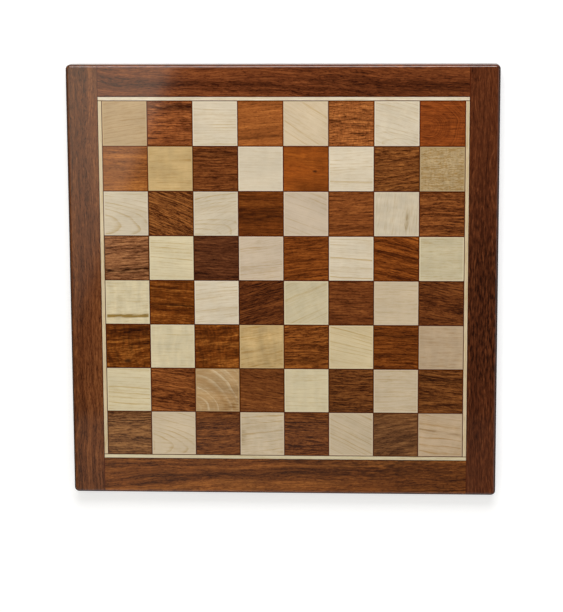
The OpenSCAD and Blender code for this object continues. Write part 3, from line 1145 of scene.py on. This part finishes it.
class BOARD_OT_joinery(bpy.types.Operator):
    """Finish the tongues and dowels inside the frame"""

    bl_idname = "board.joinery"
    bl_label = "Finish the tongues and dowels"

    def execute(self, context):
        beech = context.scene.timber_colours.beech
        changes = {"Fibre": 0.25, "Pores": 0.3}
        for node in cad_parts:
            if node.startswith(("tongue_", "dowels_")):
                turn = UPRIGHT if node in ("tongue_left", "tongue_right") else LEVEL
                dress(node, member_timber(node, beech, PALE, changes, turn, finish="bare"))
        return {"FINISHED"}


# Felt pads

# How often the felt changes in a millimetre: its fuzz, and its lighter and darker patches
FUZZ = (3.2, 3.2, 3.2)
PATCHES = (0.35, 0.35, 0.35)
# How the felt's darkest and lightest fibres shift its colour, and how much light fuzz and patches give
FELT_DARK = (0.55, 0.55, 0.55)
FELT_LIGHT = (1.9, 1.9, 1.9)
FUZZ_SHARE = 0.7
PATCH_SHARE = 0.3
FELT_ROUGHNESS = (0.98, 0.88)
FELT_RELIEF = {"Strength": 0.6, "Distance": 0.0005}
FELT_SHEEN = 0.4
FELT_SPECULAR = 0.15

# The edge of a pad waves in and out this often round it, each wave by up to this much, in metres. Its
# underside has rings of points at these shares of the way out, and its rim is rounded in steps.
RIM_WAVES = (5, 9, 14, 23)
RIM_UNEVEN = 0.00006
PAD_RINGS = (0.25, 0.5, 0.75, 0.9)
RIM_STEPS = 5
# Every round mesh here, pad or floor, has this many points in a ring.
SPOKES = 96


def felt_material():
    """Short dense felt: mottled colour, a fuzzy surface and a soft sheen."""
    material, t, shader = new_material("felt")
    colour = bpy.context.scene.timber_colours.felt
    at = t.vector("MULTIPLY", t.add("ShaderNodeTexCoord").outputs["Object"], (MM, MM, MM))
    fuzz = t.noise(at, FUZZ, detail=4.0, roughness=0.7)
    patch = t.ramp(t.noise(at, PATCHES), *MOTTLE_EDGES, 0.0, PATCH_SHARE)
    share = t.total(t.ramp(fuzz, *MOTTLE_EDGES, 0.0, FUZZ_SHARE), patch)
    dark = opaque(shifted(colour, FELT_DARK))
    light = opaque(shifted(colour, FELT_LIGHT))
    t.feed(shader.inputs["Base Color"], t.blend(share, dark, light))
    bump = t.add("ShaderNodeBump", {"Height": fuzz, **FELT_RELIEF})
    t.feed(shader.inputs["Normal"], bump.outputs["Normal"])
    t.feed(shader.inputs["Roughness"], t.ramp(fuzz, *PATCH_EDGES, *FELT_ROUGHNESS))
    shader.inputs["Sheen Weight"].default_value = FELT_SHEEN
    shader.inputs["Specular IOR Level"].default_value = FELT_SPECULAR
    return material


def spun_ring(centre, reaches, height):
    """One ring of points round a centre, one for each reach."""
    turns = [math.tau * spoke / len(reaches) for spoke in range(len(reaches))]
    return [
        (centre.x + reach * math.cos(turn), centre.y + reach * math.sin(turn), height)
        for reach, turn in zip(reaches, turns)
    ]


def spun_shell(shape, middle, rings):
    """Joins rings of points into a shell that opens upwards from its middle. Returns the last ring."""
    centre = shape.verts.new(middle)
    rows = [[shape.verts.new(point) for point in ring] for ring in rings]
    for spoke in range(SPOKES):
        after = (spoke + 1) % SPOKES
        shape.faces.new((centre, rows[0][spoke], rows[0][after]))
        for inner, outer in zip(rows, rows[1:]):
            shape.faces.new((inner[spoke], outer[spoke], outer[after], inner[after]))
    return rows[-1]


def felt_pad(name, low, high, rim):
    """A disc of felt with a soft pressed rim and a slightly uneven edge."""
    centre = (low + high) / 2
    chance = random.Random(name)
    waves = [(k, chance.uniform(0.0, math.tau), chance.uniform(0.0, 1.0)) for k in RIM_WAVES]

    def edge(turn):
        uneven = sum(RIM_UNEVEN * size * (math.sin(k * turn + phase) - 1.0) for k, phase, size in waves)
        return (high.x - low.x) / 2 + uneven - rim

    edges = [edge(math.tau * spoke / SPOKES) for spoke in range(SPOKES)]
    rings = [spun_ring(centre, [reach * share for reach in edges], low.z) for share in PAD_RINGS]
    for step in range(RIM_STEPS + 1):
        angle = math.pi / 2 * step / RIM_STEPS
        height = low.z + rim * (1 - math.cos(angle))
        rings.append(spun_ring(centre, [reach + rim * math.sin(angle) for reach in edges], height))
    rings.append([(x, y, high.z) for x, y, height in rings[-1]])
    shape = bmesh.new()
    shape.faces.new(spun_shell(shape, (centre.x, centre.y, low.z), rings))
    bmesh.ops.recalc_face_normals(shape, faces=shape.faces)
    for face in shape.faces:
        face.smooth = len(face.verts) < SPOKES
    return bpy.data.objects.new(name, finished_mesh(shape, name))


class BOARD_OT_pads(bpy.types.Operator):
    """Cut the four felt pads"""

    bl_idname = "board.pads"
    bl_label = "Cut the felt pads"

    def execute(self, context):
        material = felt_material()
        for node in sorted(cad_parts):
            if node.startswith("foot_pad_"):
                low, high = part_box(node)
                name = "felt_" + node.removeprefix("foot_pad_")
                item = felt_pad(name, low, high, context.scene.board_sizes.felt_crown)
                item.data.materials.append(material)
                attach(item, "felt", node)
        return {"FINISHED"}


# Studio


class Lamp(NamedTuple):
    """A soft rectangular lamp. Places and sizes are in metres."""

    name: str
    place: tuple
    size: tuple
    # The studio setting that gives the brightness of its face, and its share of that
    level: str
    share: float = 1.0
    # A panel lies level and is turned by so many degrees. Any other lamp faces the board.
    turn: float = None
    # The side along which its light fades, where on that side it is whole and where it is out
    fade: tuple = None
    colour: tuple = (1.0, 1.0, 1.0)


WARM_HAZE = (1.0, 0.97, 0.80)
LAMPS = (
    Lamp("lamp beyond the top rail", (0.1, 1.9, 1.9), (1.6, 1.1), "key_level"),
    Lamp(
        "panel over the left side", (-1.146, 0.206, 2.0), (1.6, 2.2), "panel_level",
        turn=-21.35, fade=("Y", 0.55, 0.27), colour=WARM_HAZE,
    ),
    Lamp(
        "panel over the near corner", (-0.6, -1.12, 2.0), (2.2, 1.0), "panel_level",
        share=0.22, turn=0.0, fade=("X", 0.55, 1.0), colour=WARM_HAZE,
    ),
    Lamp("lamp on the right", (2.1, -0.2, 1.5), (2.4, 2.0), "fill_level"),
    Lamp("lamp before the bottom rail", (-0.2, -2.2, 1.5), (2.8, 1.9), "front_level"),
)
LAMP_TARGET = Vector((0.0, 0.0, 0.02))

# The floor: its rings, its radius, the height of its wall and the radius of the bend between them, in metres
FLOOR_RINGS = (0.4, 1.2, 2.4)
FLOOR_RADIUS = 5.0
FLOOR_WALL = 1.4
FLOOR_BEND = 0.8
BEND_STEPS = 8

# The floor's glow, where 1 is white. The camera sees less of it near the board, where the lit colour and
# the shadow show too, than far away. It changes between two distances, and mirrors see a third level.
GLOW_NEAR = 0.58
GLOW_FAR = 1.0
GLOW_DISTANCES = (1.0, 3.0)
GLOW_MIRRORED = 0.25

# The camera, fitted to the squares in the photograph: where it stands, in metres, and its turn from
# looking straight down, as one turn whose axis and size are given by three numbers in degrees
CAMERA_PLACE = (0.12895, 0.40865, 2.40426)
CAMERA_TURN = (-10.332, 3.103, 0.003)
SENSOR_WIDTH = 36.0
FARTHEST = 50.0


def soft_lamp(lamp, studio):
    """An area lamp whose face has the brightness that its level gives."""
    light = bpy.data.lights.new(lamp.name, "AREA")
    light.shape = "RECTANGLE"
    width, depth = lamp.size
    light.size = width
    light.size_y = depth
    light.color = lamp.colour
    light.energy = getattr(studio, lamp.level) * lamp.share * math.pi * width * depth
    item = bpy.data.objects.new(lamp.name, light)
    item.location = lamp.place
    item.rotation_mode = "QUATERNION"
    if lamp.turn is None:
        item.rotation_quaternion = (Vector(lamp.place) - LAMP_TARGET).to_track_quat("Z", "Y")
    else:
        item.rotation_quaternion = Quaternion((0.0, 0.0, 1.0), math.radians(lamp.turn))
    bpy.context.scene.collection.objects.link(item)
    if lamp.fade:
        side, whole, out = lamp.fade
        light.use_nodes = True
        t = Tree(light.node_tree)
        face = t.axes(t.add("ShaderNodeNewGeometry").outputs["Parametric"])
        feeds = {"Value": face[side], "From Min": out, "From Max": whole}
        strength = t.add("ShaderNodeMapRange", feeds, clamp=True).outputs["Result"]
        t.feed(light.node_tree.nodes["Emission"].inputs["Strength"], strength)


def floor_mesh():
    """A round floor that curves up into a wall."""
    profile = [(reach, 0.0) for reach in FLOOR_RINGS]
    for step in range(BEND_STEPS + 1):
        angle = math.pi / 2 * step / BEND_STEPS
        reach = FLOOR_RADIUS - FLOOR_BEND + FLOOR_BEND * math.sin(angle)
        profile.append((reach, FLOOR_BEND - FLOOR_BEND * math.cos(angle)))
    profile.append((FLOOR_RADIUS, FLOOR_WALL))
    shape = bmesh.new()
    rings = [spun_ring(Vector(ORIGIN), [reach] * SPOKES, height) for reach, height in profile]
    spun_shell(shape, ORIGIN, rings)
    for face in shape.faces:
        face.smooth = True
    return finished_mesh(shape, "floor")


def floor_material(colour):
    """A plain matt floor that the camera, mirrors and glass see lit up, with the board's shadow on it."""
    material, t, shader = new_material("floor")
    material.node_tree.nodes.remove(shader)
    matt = t.add("ShaderNodeBsdfDiffuse", {"Color": opaque(colour)})
    path = t.add("ShaderNodeLightPath").outputs
    away = t.vector("LENGTH", t.add("ShaderNodeTexCoord").outputs["Object"])
    seen = t.product(path["Is Camera Ray"], t.ramp(away, *GLOW_DISTANCES, GLOW_NEAR, GLOW_FAR))
    mirrored = t.math("MAXIMUM", path["Is Glossy Ray"], path["Is Transmission Ray"])
    strength = t.math("MAXIMUM", seen, t.product(mirrored, GLOW_MIRRORED))
    glow = t.add("ShaderNodeEmission", {"Color": WHITE, "Strength": strength})
    both = t.add("ShaderNodeAddShader", {0: matt.outputs[0], 1: glow.outputs[0]})
    t.feed(material.node_tree.nodes["Material Output"].inputs["Surface"], both.outputs[0])
    return material


class BOARD_OT_studio(bpy.types.Operator):
    """Set up the floor, the lamps and the camera"""

    bl_idname = "board.studio"
    bl_label = "Set up the studio"

    def execute(self, context):
        scene = context.scene
        studio = scene.studio
        floor = bpy.data.objects.new("floor", floor_mesh())
        scene.collection.objects.link(floor)
        floor.data.materials.append(floor_material(studio.floor_colour))

        world = bpy.data.worlds.new("room")
        world.use_nodes = True
        room = world.node_tree.nodes["Background"].inputs
        room["Color"].default_value = WHITE
        room["Strength"].default_value = studio.room_level
        scene.world = world
        for lamp in LAMPS:
            soft_lamp(lamp, studio)

        camera = bpy.data.cameras.new("camera")
        camera.lens = studio.lens
        camera.sensor_width = SENSOR_WIDTH
        camera.clip_end = FARTHEST
        item = bpy.data.objects.new("camera", camera)
        item.location = CAMERA_PLACE
        turn = Vector([math.radians(angle) for angle in CAMERA_TURN])
        item.rotation_mode = "QUATERNION"
        item.rotation_quaternion = Quaternion(turn.normalized(), turn.length)
        scene.collection.objects.link(item)
        scene.camera = item
        scene.view_settings.view_transform = "Standard"
        return {"FINISHED"}


# Panel and registration

STEPS = (
    BOARD_OT_squares,
    BOARD_OT_stringing,
    BOARD_OT_frame,
    BOARD_OT_lining,
    BOARD_OT_joinery,
    BOARD_OT_pads,
    BOARD_OT_studio,
)


class BOARD_PT_panel(bpy.types.Panel):
    """Lists the board's steps and what can be changed"""

    bl_idname = "BOARD_PT_panel"
    bl_label = "Chessboard"
    bl_space_type = "VIEW_3D"
    bl_region_type = "UI"
    bl_category = "Chessboard"

    def draw(self, context):
        layout = self.layout
        for step in STEPS:
            layout.operator(step.bl_idname)
        for group in (context.scene.board_sizes, context.scene.timber_colours, context.scene.studio):
            box = layout.box()
            for name in group.bl_rna.properties.keys():
                if name not in ("rna_type", "name"):
                    box.prop(group, name)


GROUPS = (BoardSizes, TimberColours, StudioSettings)


def register():
    for group in GROUPS + STEPS + (BOARD_PT_panel,):
        bpy.utils.register_class(group)
    bpy.types.Scene.board_sizes = PointerProperty(type=BoardSizes)
    bpy.types.Scene.timber_colours = PointerProperty(type=TimberColours)
    bpy.types.Scene.studio = PointerProperty(type=StudioSettings)


def unregister():
    del bpy.types.Scene.studio
    del bpy.types.Scene.timber_colours
    del bpy.types.Scene.board_sizes
    for group in reversed(GROUPS + STEPS + (BOARD_PT_panel,)):
        bpy.utils.unregister_class(group)


def main():
    register()
    wood_figure()
    edge_line()
    bpy.ops.board.squares()
    bpy.ops.board.stringing()
    bpy.ops.board.frame()
    bpy.ops.board.lining()
    bpy.ops.board.joinery()
    bpy.ops.board.pads()
    bpy.ops.board.studio()


if __name__ == "__main__":
    main()
